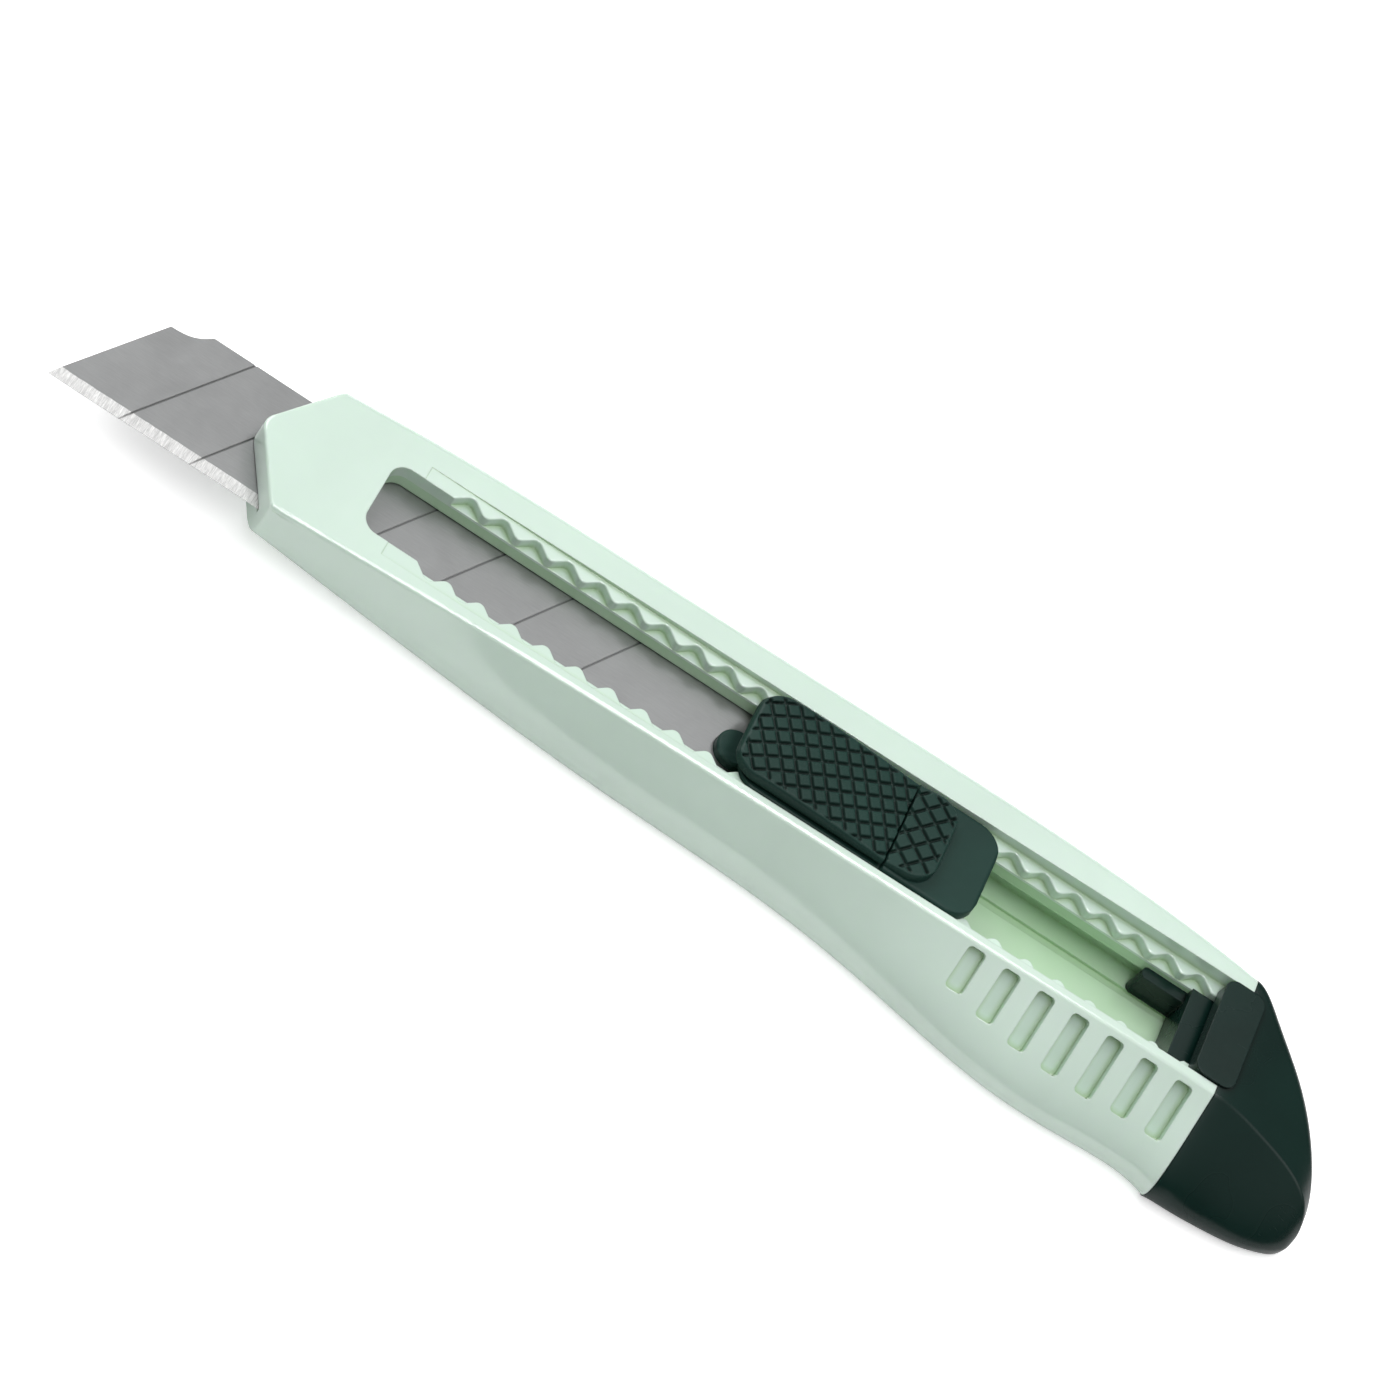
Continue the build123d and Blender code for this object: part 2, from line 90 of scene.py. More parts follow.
BUTTON_BOTTOM_Z = 11.7 * MM
PIN_XS = (-9.6 * MM, 5.0 * MM)
PIN_RADIUS = 0.8 * MM
PIN_LOW_Z = 9.7 * MM
PIN_HIGH_Z = 11.75 * MM
REAR_BLOCK_FRONT_X = 10.05 * MM
REAR_BLOCK_END_X = 16.2 * MM
REAR_BLOCK_LOW_Z = 12.56 * MM
REAR_BLOCK_RISE = 0.72 * MM
REAR_BLOCK_BOTTOM_Z = 11.2 * MM
NECK_LOW = (-1.0 * MM, -3.4 * MM, 8.7 * MM)
NECK_HIGH = (11.0 * MM, 3.4 * MM, 10.8 * MM)
PEG_XS = (1.4 * MM, 8.6 * MM)
PEG_RADIUS = 1.2 * MM
PEG_LOW_Z = 6.5 * MM
PEG_HIGH_Z = 8.8 * MM

# Area lights, all aimed at the origin: name, place, power, width and height.
# Places and sizes are in metres, powers in watts.
LIGHTS = (
    ("key", (-0.75, 0.75, 0.75), 9.6, 0.8, 0.8),
    ("side", (1.10, 0.10, 0.80), 2.0, 0.7, 0.7),
    ("strip", (0.10, -0.02, 0.98), 4.4, 1.3, 0.18),
)
CEILING_GLOW = 0.78
WALL_GLOW = 0.05
FLOOR_GLOW = 0.50
FLOOR_GLOW_UNSEEN = 0.15

# Camera: place in millimetres, turn in degrees, focal length in millimetres on a 36 mm sensor.
CAMERA_AT = (-94.42, -348.08, 461.96)
CAMERA_TURN = (30.097, -24.865, 23.784)
CAMERA_LENS = 120.75


# ---- Sizes and colours -------------------------------------------------------------------


class KnifeSizes(PropertyGroup):
    """Sizes of the detail added to the slider."""

    groove_pitch: FloatProperty(
        name="Groove pitch", description="Distance between the thumb button's grooves",
        default=1.93 * MM, unit="LENGTH",
    )
    groove_turn: FloatProperty(
        name="Groove turn", description="Angle between the thumb button's grooves and its length",
        default=math.radians(31), subtype="ANGLE",
    )
    groove_width: FloatProperty(
        name="Groove width", description="Width of a groove at its mouth",
        default=0.43 * MM, unit="LENGTH",
    )
    groove_depth: FloatProperty(
        name="Groove depth", description="Depth of the grip's grooves",
        default=0.42 * MM, unit="LENGTH",
    )
    rear_pitch: FloatProperty(
        name="Rear groove pitch", description="Distance between the rear block's grooves",
        default=2.15 * MM, unit="LENGTH",
    )
    rear_turn: FloatProperty(
        name="Rear groove turn", description="Angle between the rear block's grooves and its length",
        default=math.radians(48), subtype="ANGLE",
    )
    grip_step: FloatProperty(
        name="Grip step", description="Spacing of the mesh that carries the grooves",
        default=0.11 * MM, unit="LENGTH",
    )


class KnifeColours(PropertyGroup):
    """Base colours of the finishes."""

    mint: FloatVectorProperty(
        name="Handle", description="Pale green of the moulded handle",
        default=(0.64, 0.785, 0.69), subtype="COLOR", min=0, max=1,
    )
    pad: FloatVectorProperty(
        name="Slider", description="Grey green of the slider and its carrier",
        default=(0.010, 0.037, 0.029), subtype="COLOR", min=0, max=1,
    )
    cap: FloatVectorProperty(
        name="Cap", description="Dark green of the end cap",
        default=(0.0022, 0.0150, 0.0115), subtype="COLOR", min=0, max=1,
    )
    steel: FloatVectorProperty(
        name="Blade", description="Grey of the rolled blade steel",
        default=(0.26, 0.265, 0.267), subtype="COLOR", min=0, max=1,
    )


# ---- Shared effects ----------------------------------------------------------------------


def new_group(name, inputs, outputs):
    """Shader node group with the named sockets, and its input and output nodes."""
    group = bpy.data.node_groups.new(name, "ShaderNodeTree")
    for label, kind, value in inputs:
        socket = group.interface.new_socket(name=label, in_out="INPUT", socket_type=kind)
        if value is not None:
            socket.default_value = value
    for label, kind in outputs:
        group.interface.new_socket(name=label, in_out="OUTPUT", socket_type=kind)
    return group, group.nodes.new("NodeGroupInput"), group.nodes.new("NodeGroupOutput")


def place(tree, kind, settings=None, **sockets):
    """Node of that kind in the tree, its settings set and its inputs given or linked."""
    node = tree.nodes.new(kind)
    for key, value in (settings or {}).items():
        setattr(node, key, value)
    for label, value in sockets.items():
        socket = node.inputs[label.replace("_", " ")]
        if isinstance(value, bpy.types.NodeSocket):
            tree.links.new(value, socket)
        else:
            socket.default_value = value
    return node


def sums(tree, operation, first, second=None, third=None):
    """Math node; each term is a number or a socket."""
    node = tree.nodes.new("ShaderNodeMath")
    node.operation = operation
    for index, term in enumerate((first, second, third)):
        if isinstance(term, bpy.types.NodeSocket):
            tree.links.new(term, node.inputs[index])
        elif term is not None:
            node.inputs[index].default_value = term
    return node.outputs[0]


def mix_colours(tree, factor, first, second):
    """Colour between two colours; each term is a value or a socket."""
    node = tree.nodes.new("ShaderNodeMix")
    node.data_type = "RGBA"
    for index, term in ((0, factor), (6, first), (7, second)):
        if isinstance(term, bpy.types.NodeSocket):
            tree.links.new(term, node.inputs[index])
        else:
            node.inputs[index].default_value = term
    return node.outputs[2]


def moulded_plastic():
    """Fine spark-eroded grain, broad flow clouds and sparse scuffs of an injection moulding."""
    group, given, out = new_group(
        "Moulded plastic",
        (("Grain Size", "NodeSocketFloat", 9000.0), ("Cloud Size", "NodeSocketFloat", 45.0),
         ("Scuffs", "NodeSocketFloat", 0.3)),
        (("Height", "NodeSocketFloat"), ("Cloud", "NodeSocketFloat"), ("Scuff", "NodeSocketFloat")),
    )
    where = place(group, "ShaderNodeTexCoord").outputs["Object"]
    grain = place(group, "ShaderNodeTexNoise", Vector=where, Scale=given.outputs["Grain Size"],
                  Detail=3.0, Roughness=0.6)
    cloud = place(group, "ShaderNodeTexNoise", Vector=where, Scale=given.outputs["Cloud Size"],
                  Detail=4.0, Roughness=0.55, Distortion=0.4)
    stretched = place(group, "ShaderNodeMapping", Vector=where, Rotation=(0.0, 0.0, 0.5),
                      Scale=(180.0, 2400.0, 900.0))
    marks = place(group, "ShaderNodeTexNoise", Vector=stretched.outputs[0], Scale=1.0, Detail=5.0,
                  Roughness=0.7)
    patches = place(group, "ShaderNodeTexNoise", Vector=where, Scale=110.0, Detail=2.0)
    lines = sums(group, "MAXIMUM", sums(group, "MULTIPLY_ADD", marks.outputs["Fac"], 9.0, -5.6), 0.0)
    lines = sums(group, "SMOOTH_MIN", lines, 1.0, 0.1)
    places = sums(group, "MAXIMUM", sums(group, "MULTIPLY_ADD", patches.outputs["Fac"], 5.0, -2.6), 0.0)
    scuff = sums(group, "MULTIPLY", sums(group, "MULTIPLY", lines, places), given.outputs["Scuffs"])
    group.links.new(grain.outputs["Fac"], out.inputs["Height"])
    group.links.new(cloud.outputs["Fac"], out.inputs["Cloud"])
    group.links.new(scuff, out.inputs["Scuff"])
    return group


def worn_edges():
    """Mask of corners that fingers and cardboard have polished, broken up by noise; on the pale handle it
    also places a painted highlight along the crests.
    """
    group, given, out = new_group(
        "Worn edges", (("Amount", "NodeSocketFloat", 0.5), ("Break Up", "NodeSocketFloat", 900.0)),
        (("Mask", "NodeSocketFloat"),),
    )
    where = place(group, "ShaderNodeTexCoord").outputs["Object"]
    bend = place(group, "ShaderNodeNewGeometry").outputs["Pointiness"]
    sharp = sums(group, "MULTIPLY_ADD", bend, 9.0, -4.75)
    noise = place(group, "ShaderNodeTexNoise", Vector=where, Scale=given.outputs["Break Up"], Detail=3.0)
    mask = sums(group, "MULTIPLY", sums(group, "MAXIMUM", sharp, 0.0), noise.outputs["Fac"])
    mask = sums(group, "MINIMUM", sums(group, "MULTIPLY", mask, given.outputs["Amount"]), 1.0)
    group.links.new(mask, out.inputs["Mask"])
    return group


def painted_recess_shade():
    """Mask of the corners and grooves of the piece itself, where painted shade and painted trapped light go.
    """
    group, given, out = new_group(
        "Recess", (("Reach", "NodeSocketFloat", 2.0 * MM), ("Gain", "NodeSocketFloat", 1.6)),
        (("Mask", "NodeSocketFloat"),),
    )
    recess_shade = place(group, "ShaderNodeAmbientOcclusion", {"samples": 6, "only_local": True},
                   Distance=given.outputs["Reach"])
    mask = sums(group, "MULTIPLY", sums(group, "SUBTRACT", 1.0, recess_shade.outputs["AO"]), given.outputs["Gain"])
    group.links.new(sums(group, "MINIMUM", mask, 1.0), out.inputs["Mask"])
    return group


def brushed_steel():
    """Lengthways rolling grain, dull blotches and fine specks of cold-rolled strip."""
    group, given, out = new_group(
        "Rolled steel", (("Grain", "NodeSocketFloat", 1.0),),
        (("Height", "NodeSocketFloat"), ("Streak", "NodeSocketFloat"), ("Blotch", "NodeSocketFloat")),
    )
    where = place(group, "ShaderNodeTexCoord").outputs["Object"]
    along = place(group, "ShaderNodeMapping", Vector=where, Scale=(420.0, 6500.0, 1500.0))
    streak = place(group, "ShaderNodeTexNoise", Vector=along.outputs[0], Scale=given.outputs["Grain"],
                   Detail=6.0, Roughness=0.65)
    blotch = place(group, "ShaderNodeTexNoise", Vector=where, Scale=240.0, Detail=5.0, Roughness=0.6,
                   Distortion=0.6)
    speck = place(group, "ShaderNodeTexNoise", Vector=where, Scale=5200.0, Detail=2.0)
    height = sums(group, "MULTIPLY_ADD", speck.outputs["Fac"], 0.6, streak.outputs["Fac"])
    group.links.new(height, out.inputs["Height"])
    group.links.new(streak.outputs["Fac"], out.inputs["Streak"])
    group.links.new(blotch.outputs["Fac"], out.inputs["Blotch"])
    return group


def shared(name, make):
    """The node group of that name, made the first time it's asked for."""
    return bpy.data.node_groups.get(name) or make()


def placed_group(tree, group, **values):
    """Node that holds a node group, with its inputs given."""
    node = tree.nodes.new("ShaderNodeGroup")
    node.node_tree = group
    for label, value in values.items():
        node.inputs[label.replace("_", " ")].default_value = value
    return node


def start_material(name):
    """Node material with its Principled shader, empty otherwise."""
    material = bpy.data.materials.new(name)
    material.use_nodes = True
    tree = material.node_tree
    return material, tree, tree.nodes["Principled BSDF"]


# ---- Finishes ----------------------------------------------------------------------------


def plastic_finish(name, colour, light, dark, roughness, bump, grain, scuffs, edge_wear_and_sheen, wear, recess_shade, reach):
    """Moulded plastic: colour drifts between two tints, painted shade deepens it in hollows, with grain,
    scuffs, and edge wear that is partly a painted highlight on the pale handle.
    """
    material, tree, shader = start_material(name)
    skin = placed_group(tree, shared("Moulded plastic", moulded_plastic), Grain_Size=grain, Scuffs=scuffs)
    edge = placed_group(tree, shared("Worn edges", worn_edges), Amount=wear)
    low = [*(channel * dark for channel in colour), 1.0]
    high = [*(min(channel * light, 1.0) for channel in colour), 1.0]
    drift = sums(tree, "MULTIPLY_ADD", skin.outputs["Cloud"], 2.4, -0.7)
    base = mix_colours(tree, sums(tree, "MINIMUM", sums(tree, "MAXIMUM", drift, 0.0), 1.0), low, high)
    # Painted shade: hollows, grooves and corners are mixed towards the recess colour.
    recess = placed_group(tree, shared("Recess", painted_recess_shade), Reach=reach)
    base = mix_colours(tree, recess.outputs["Mask"], base, [*recess_shade, 1.0])
    # Sharp edges take the paler edge colour: wear, and on the pale handle also a painted highlight along the
    # crests.
    base = mix_colours(tree, edge.outputs["Mask"], base, [*edge_wear_and_sheen, 1.0])
    tree.links.new(base, shader.inputs["Base Color"])
    shine = sums(tree, "MULTIPLY_ADD", skin.outputs["Scuff"], 0.3, roughness)
    shine = sums(tree, "MULTIPLY_ADD", skin.outputs["Cloud"], 0.10, shine)
    shine = sums(tree, "MULTIPLY_ADD", edge.outputs["Mask"], -0.06, shine)
    tree.links.new(shine, shader.inputs["Roughness"])
    softened = place(tree, "ShaderNodeBevel", {"samples": 4}, Radius=0.22 * MM)
    relief = place(tree, "ShaderNodeBump", Height=skin.outputs["Height"], Strength=bump,
                   Distance=0.04 * MM, Normal=softened.outputs[0])
    tree.links.new(relief.outputs[0], shader.inputs["Normal"])
    return material, shader


def handle_finish(colours):
    """Glossy pale green that lets a little light through, greener inside from painted light and shade, with
    painted shade in its hollows.
    """
    # The paler edge colour here is partly wear and partly a painted highlight along the crests.
    material, shader = plastic_finish(
        "mint_moulding", colours.mint, light=1.02, dark=0.95, roughness=0.07, bump=0.06, grain=5200.0,
        scuffs=0.35, edge_wear_and_sheen=(0.70, 0.80, 0.73), wear=0.3, recess_shade=(0.44, 0.62, 0.36), reach=0.9 * MM,
    )
    shader.inputs["IOR"].default_value = 1.6
    shader.inputs["Specular IOR Level"].default_value = 0.75
    paint_channel_shade_and_light(material.node_tree, shader)
    shader.inputs["Subsurface Weight"].default_value = 0.22
    shader.inputs["Subsurface Radius"].default_value = (0.8, 1.0, 0.7)
    shader.inputs["Subsurface Scale"].default_value = 1.2 * MM
    return material


def paint_channel_shade_and_light(tree, shader):
    """Painted light and shade: the channels turn a deeper yellow green, for the light that has come through
    the walls.
    """
    where = place(tree, "ShaderNodeTexCoord").outputs["Object"]
    at = place(tree, "ShaderNodeSeparateXYZ", Vector=where).outputs
    inside = sums(tree, "LESS_THAN", sums(tree, "ABSOLUTE", at["Y"]), CHANNEL_HALF)
    for operation, axis, limit in (
        ("LESS_THAN", "Z", CHANNEL_HIGH_Z), ("GREATER_THAN", "Z", CHANNEL_LOW_Z),
        ("GREATER_THAN", "X", CHANNEL_FRONT_X),
    ):
        inside = sums(tree, "MULTIPLY", inside, sums(tree, operation, at[axis], limit))
    patchy = place(tree, "ShaderNodeTexNoise", Vector=where, Scale=90.0, Detail=2.0)
    share = sums(tree, "MULTIPLY", inside, sums(tree, "MULTIPLY_ADD", patchy.outputs["Fac"], 0.3, 0.42))
    socket = shader.inputs["Base Color"]
    tree.links.new(mix_colours(tree, share, socket.links[0].from_socket, [0.40, 0.66, 0.34, 1.0]), socket)


def slider_finish(colours):
    """Satin grey green, paler where thumbs rub, with painted shade making the grooves nearly black."""
    material, shader = plastic_finish(
        "slider_moulding", colours.pad, light=1.25, dark=0.8, roughness=0.38, bump=0.25, grain=7000.0,
        scuffs=0.5, edge_wear_and_sheen=(0.06, 0.105, 0.095), wear=0.4, recess_shade=(0.001, 0.004, 0.003), reach=0.7 * MM,
    )
    shader.inputs["Specular IOR Level"].default_value = 0.20
    return material


def cap_finish(colours):
    """Smooth, very dark green, with painted shade in its hollows."""
    material, shader = plastic_finish(
        "cap_moulding", colours.cap, light=1.3, dark=0.75, roughness=0.22, bump=0.10, grain=5200.0,
        scuffs=0.35, edge_wear_and_sheen=(0.012, 0.030, 0.025), wear=0.25, recess_shade=(0.0005, 0.003, 0.002), reach=1.0 * MM,
    )
    shader.inputs["Specular IOR Level"].default_value = 0.26
    return material


def score_lines(tree, at):
    """Mask of the score lines: slanted, evenly spaced, from the first to the last."""
    slant = sums(tree, "MULTIPLY_ADD", at["Y"], -SCORE_SLANT, at["X"])
    along = sums(tree, "ADD", slant, -TIP_X - BLADE_HALF * SCORE_SLANT)
    step = sums(tree, "DIVIDE", along, SCORE_PITCH)
    part = sums(tree, "FRACT", sums(tree, "ADD", step, 0.5))
    nearest = sums(tree, "ABSOLUTE", sums(tree, "SUBTRACT", part, 0.5))
    scored = sums(tree, "LESS_THAN", nearest, 0.013)
    scored = sums(tree, "MULTIPLY", scored, sums(tree, "GREATER_THAN", step, 0.5))
    return sums(tree, "MULTIPLY", scored, sums(tree, "LESS_THAN", step, SCORE_COUNT + 0.5))


def blade_finish(colours):
    """Rolled steel, with the ground bevel along the cutting edge brighter and rougher."""
    material, tree, shader = start_material("blade_steel_finish")
    steel = placed_group(tree, shared("Rolled steel", brushed_steel), Grain=1.0)
    dull, lively = ([*(channel * share for channel in colours.steel), 1.0] for share in (0.86, 1.1))
    base = mix_colours(tree, steel.outputs["Blotch"], dull, lively)
    streak = sums(tree, "MULTIPLY", steel.outputs["Streak"], 0.25)
    base = mix_colours(tree, streak, base, [0.55, 0.55, 0.54, 1.0])
    where = place(tree, "ShaderNodeTexCoord").outputs["Object"]
    at = place(tree, "ShaderNodeSeparateXYZ", Vector=where).outputs
    ragged = place(tree, "ShaderNodeTexNoise", Vector=where, Scale=900.0, Detail=4.0)
    limit = sums(tree, "MULTIPLY_ADD", ragged.outputs["Fac"], 0.25 * MM, BEVEL_START_Y - 0.12 * MM)
    ground = sums(tree, "LESS_THAN", at["Y"], limit)
    scratch = place(tree, "ShaderNodeMapping", Vector=where, Rotation=(0, 0, 0.18),
                    Scale=(9000.0, 700.0, 700.0))
    cuts = place(tree, "ShaderNodeTexNoise", Vector=scratch.outputs[0], Scale=1.0, Detail=6.0,
                 Roughness=0.75)
    glint = sums(tree, "MULTIPLY_ADD", cuts.outputs["Fac"], 2.6, -0.85)
    bright = mix_colours(tree, glint, [0.36, 0.36, 0.36, 1.0], [0.80, 0.80, 0.79, 1.0])
    base = mix_colours(tree, ground, base, bright)
    # Painted shade: the score lines are darkened.
    score_shade = sums(tree, "MULTIPLY", score_lines(tree, at), 0.55)
    base = mix_colours(tree, score_shade, base, [0.05, 0.05, 0.05, 1.0])
    tree.links.new(base, shader.inputs["Base Color"])
    shader.inputs["Metallic"].default_value = 1.0
    shine = sums(tree, "MULTIPLY_ADD", steel.outputs["Blotch"], 0.16, 0.34)
    shine = sums(tree, "MULTIPLY_ADD", ground, 0.12, shine)
    tree.links.new(shine, shader.inputs["Roughness"])
    grinding = sums(tree, "MULTIPLY", cuts.outputs["Fac"], ground)
    height = sums(tree, "MULTIPLY_ADD", grinding, 4.0, steel.outputs["Height"])
    relief = place(tree, "ShaderNodeBump", Height=height, Strength=0.25, Distance=0.03 * MM)
    tree.links.new(relief.outputs[0], shader.inputs["Normal"])
    return material


def spring_finish():
    """Blue-grey tempered strip."""
    material, tree, shader = start_material("spring_steel_finish")
    steel = placed_group(tree, shared("Rolled steel", brushed_steel), Grain=1.0)
    base = mix_colours(tree, steel.outputs["Streak"], [0.20, 0.22, 0.25, 1.0], [0.46, 0.47, 0.48, 1.0])
    tree.links.new(base, shader.inputs["Base Color"])
    shader.inputs["Metallic"].default_value = 1.0
    tree.links.new(sums(tree, "MULTIPLY_ADD", steel.outputs["Blotch"], 0.2, 0.22), shader.inputs["Roughness"])
    relief = place(tree, "ShaderNodeBump", Height=steel.outputs["Height"], Strength=0.2, Distance=0.03 * MM)
    tree.links.new(relief.outputs[0], shader.inputs["Normal"])
    return material


def finish(name, make, *colours):
    """The material of that name, made the first time it's asked for."""
    return bpy.data.materials.get(name) or make(*colours)


def dress(node, material):
    """Gives a CAD node its finish."""
    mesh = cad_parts[node].data
    mesh.materials.clear()
    mesh.materials.append(material)


# ---- Slider shapes -----------------------------------------------------------------------


def groove_mask(x, y, pitch, turn, width):
    """How deep a crossed groove is at a point: 0 on a stud's flat top, 1 along a groove's floor."""
    deepest = 0.0
    for angle in (turn, turn + math.pi / 2):
        across = (y * math.cos(angle) - x * math.sin(angle)) / pitch
        off_centre = abs(across - round(across)) * pitch
        deepest = max(deepest, min(1.0, max(0.0, 1.45 - off_centre / (0.5 * width) * 1.1)))
    return deepest * deepest * (3 - 2 * deepest)


def half_width(x, block):
    """Half the block's width at x, less where its corners are rounded."""
    half = block["half"]
    for end, inwards in (("front", 1), ("rear", -1)):
        radius = block[end + "_corner"]
        reach = (x - block[end]) * inwards
        if radius and reach < radius:
            half = min(half, block["half"] - radius + math.sqrt(max(0.0, radius**2 - (radius - reach) ** 2)))
    return half


def block_height(x, y, half, block):
    """Height of the block's top at a point: its profile, rounded rim and grooves."""
    edge = half - abs(y)
    if block["front_corner"]:
        edge = min(edge, x - block["front"])
    if block["rear_corner"]:
        edge = min(edge, block["rear"] - x)
    rim = block["rim"]
    drop = rim - math.sqrt(max(0.0, rim**2 - (rim - min(edge, rim)) ** 2))
    height = block["profile"](x) - drop - block["crown"] * (y / block["half"]) ** 2
    if block.get("pitch"):
        fade = min(1.0, max(0.0, (edge - 0.35 * MM) / (0.35 * MM)))
        height -= block["depth"] * fade * groove_mask(x, y, block["pitch"], block["turn"], block["width"])
    return height


def add_block(shape, block):
    """Adds a pad-like block to the bmesh: a height field on top, walls that flare, a flat underside."""
    columns = max(8, round((block["rear"] - block["front"]) / block["step"]))
    rows = max(8, round(2 * block["half"] / block["step"]))
    grid = []
    for column in range(columns + 1):
        x = block["front"] + (block["rear"] - block["front"]) * column / columns
        half = half_width(x, block)
        line = []
        for row in range(rows + 1):
            y = half * (2 * row / rows - 1)
            line.append(shape.verts.new((x, y, block_height(x, y, half, block))))
        grid.append(line)
    for left, right in zip(grid, grid[1:]):
        for row in range(rows):
            shape.faces.new((left[row], right[row], right[row + 1], left[row + 1]))
    rim = [line[0] for line in grid] + grid[-1][1:]
    rim += [line[-1] for line in reversed(grid[:-1])] + grid[0][1:-1][::-1]
    middle = (block["front"] + block["rear"]) / 2
    foot = []
    for vert in rim:
        out_y = math.copysign(block["flare"], vert.co.y)
        out_x = math.copysign(block["flare"], vert.co.x - middle)
        rounded = block["front_corner"] if out_x < 0 else block["rear_corner"]
        if not rounded or abs(vert.co.y) >= block["half"] - 0.5 * MM:
            out_x = 0.0
        foot.append(shape.verts.new((vert.co.x + out_x, vert.co.y + out_y, block["foot"])))
    count = len(rim)
    for index in range(count):
        following = (index + 1) % count
        shape.faces.new((rim[index], foot[index], foot[following], rim[following]))
    shape.faces.new(foot[::-1])


def add_bar(shape, low, high, soften):
    """Adds a softened bar between two corners, for the parts inside the handle."""
    made = bmesh.ops.create_cube(shape, size=1.0)["verts"]
    for vert in made:
        vert.co = Vector(start + (at + 0.5) * (end - start) for at, start, end in zip(vert.co, low, high))
    edges = {edge for vert in made for edge in vert.link_edges}
    bmesh.ops.bevel(shape, geom=list(edges), offset=soften, segments=2, affect="EDGES", profile=0.5)


def add_pin(shape, x, radius, low, high):
    """Adds an upright pin on the centre line."""
    made = bmesh.ops.create_cone(
        shape, cap_ends=True, segments=32, radius1=radius * 0.92, radius2=radius, depth=high - low
    )["verts"]
    for vert in made:
        vert.co += Vector((x, 0.0, (low + high) / 2))


def finish_piece(name, shape, material, body, slot, *nodes):
    """Makes the object of a bmesh, shades it smooth, and hands it to its body in place of CAD nodes."""
    bmesh.ops.recalc_face_normals(shape, faces=shape.faces)
    mesh = bpy.data.meshes.new(name)
    shape.to_mesh(mesh)
    shape.free()
    for polygon in mesh.polygons:
        polygon.use_smooth = True
    mesh.set_sharp_from_angle(angle=math.radians(50))
    mesh.materials.append(material)
    piece = bpy.data.objects.new(name, mesh)
    bpy.context.scene.collection.objects.link(piece)
    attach(piece, body)
    if nodes:
        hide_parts(*nodes)


def button_profile(x):
    """Height of the thumb button along its length: low lip, crest near the front, dip at the gap."""
    if x < BUTTON_CREST_X:
        share = (BUTTON_CREST_X - x) / (BUTTON_CREST_X - BUTTON_FRONT_X)
        return BUTTON_CREST_Z - BUTTON_FRONT_DROP * share**2
    share = (x - BUTTON_CREST_X) / (BUTTON_REAR_X - BUTTON_CREST_X)
    return BUTTON_CREST_Z - BUTTON_REAR_DROP * share**1.6


def rear_profile(x):
    """Height of the rear block: rises from the gap to its back edge."""
    share = (x - REAR_BLOCK_FRONT_X) / (REAR_BLOCK_END_X - REAR_BLOCK_FRONT_X)
    share = min(1.0, max(0.0, share))
    return REAR_BLOCK_LOW_Z + REAR_BLOCK_RISE * math.sin(share * math.pi / 2)


def plate_profile(x):
    """Height of the slider's plate: a tray under the button, a step up behind it."""
    return PLATE_TRAY_Z if x < PLATE_STEP_X else PLATE_TOP_Z


# ---- Operators ---------------------------------------------------------------------------


class KNIFE_OT_handle(Operator):
    """Gives the moulded handle its pale green plastic"""

    bl_idname = "knife.handle"
    bl_label = "Handle"

    def execute(self, context):
        dress("handle_body", finish("mint_moulding", handle_finish, context.scene.knife_colours))
        return {"FINISHED"}


class KNIFE_OT_blade(Operator):
    """Gives the segmented blade its rolled and ground steel"""

    bl_idname = "knife.blade"
    bl_label = "Blade"

    def execute(self, context):
        dress("blade", finish("blade_steel_finish", blade_finish, context.scene.knife_colours))
        return {"FINISHED"}


class KNIFE_OT_carrier(Operator):
    """Gives the blade carrier and the two springs their finishes"""

    bl_idname = "knife.carrier"
    bl_label = "Carrier and springs"

    def execute(self, context):
        dress("blade_carrier", finish("slider_moulding", slider_finish, context.scene.knife_colours))
        dress("lock_spring", finish("spring_steel_finish", spring_finish))
        dress("button_spring", finish("spring_steel_finish", spring_finish))
        return {"FINISHED"}


class KNIFE_OT_button(Operator):
    """Builds the thumb button with its crossed grooves"""

    bl_idname = "knife.button"
    bl_label = "Thumb button"

    def execute(self, context):
        sizes = context.scene.knife_sizes
        shape = bmesh.new()
        add_block(shape, {
            "front": BUTTON_FRONT_X, "rear": BUTTON_REAR_X, "half": GRIP_HALF,
            "front_corner": GRIP_CORNER, "rear_corner": 0.0, "rim": 0.5 * MM, "crown": GRIP_CROWN,
            "profile": button_profile, "pitch": sizes.groove_pitch, "turn": sizes.groove_turn,
            "width": sizes.groove_width, "depth": sizes.groove_depth, "flare": GRIP_FLARE,
            "foot": BUTTON_BOTTOM_Z, "step": sizes.grip_step,
        })
        for x in PIN_XS:
            add_pin(shape, x, PIN_RADIUS, PIN_LOW_Z, PIN_HIGH_Z)
        finish_piece(
            "thumb_button_grip", shape,
            finish("slider_moulding", slider_finish, context.scene.knife_colours),
            "button", "slider_plastic", "thumb_button",
        )
        return {"FINISHED"}


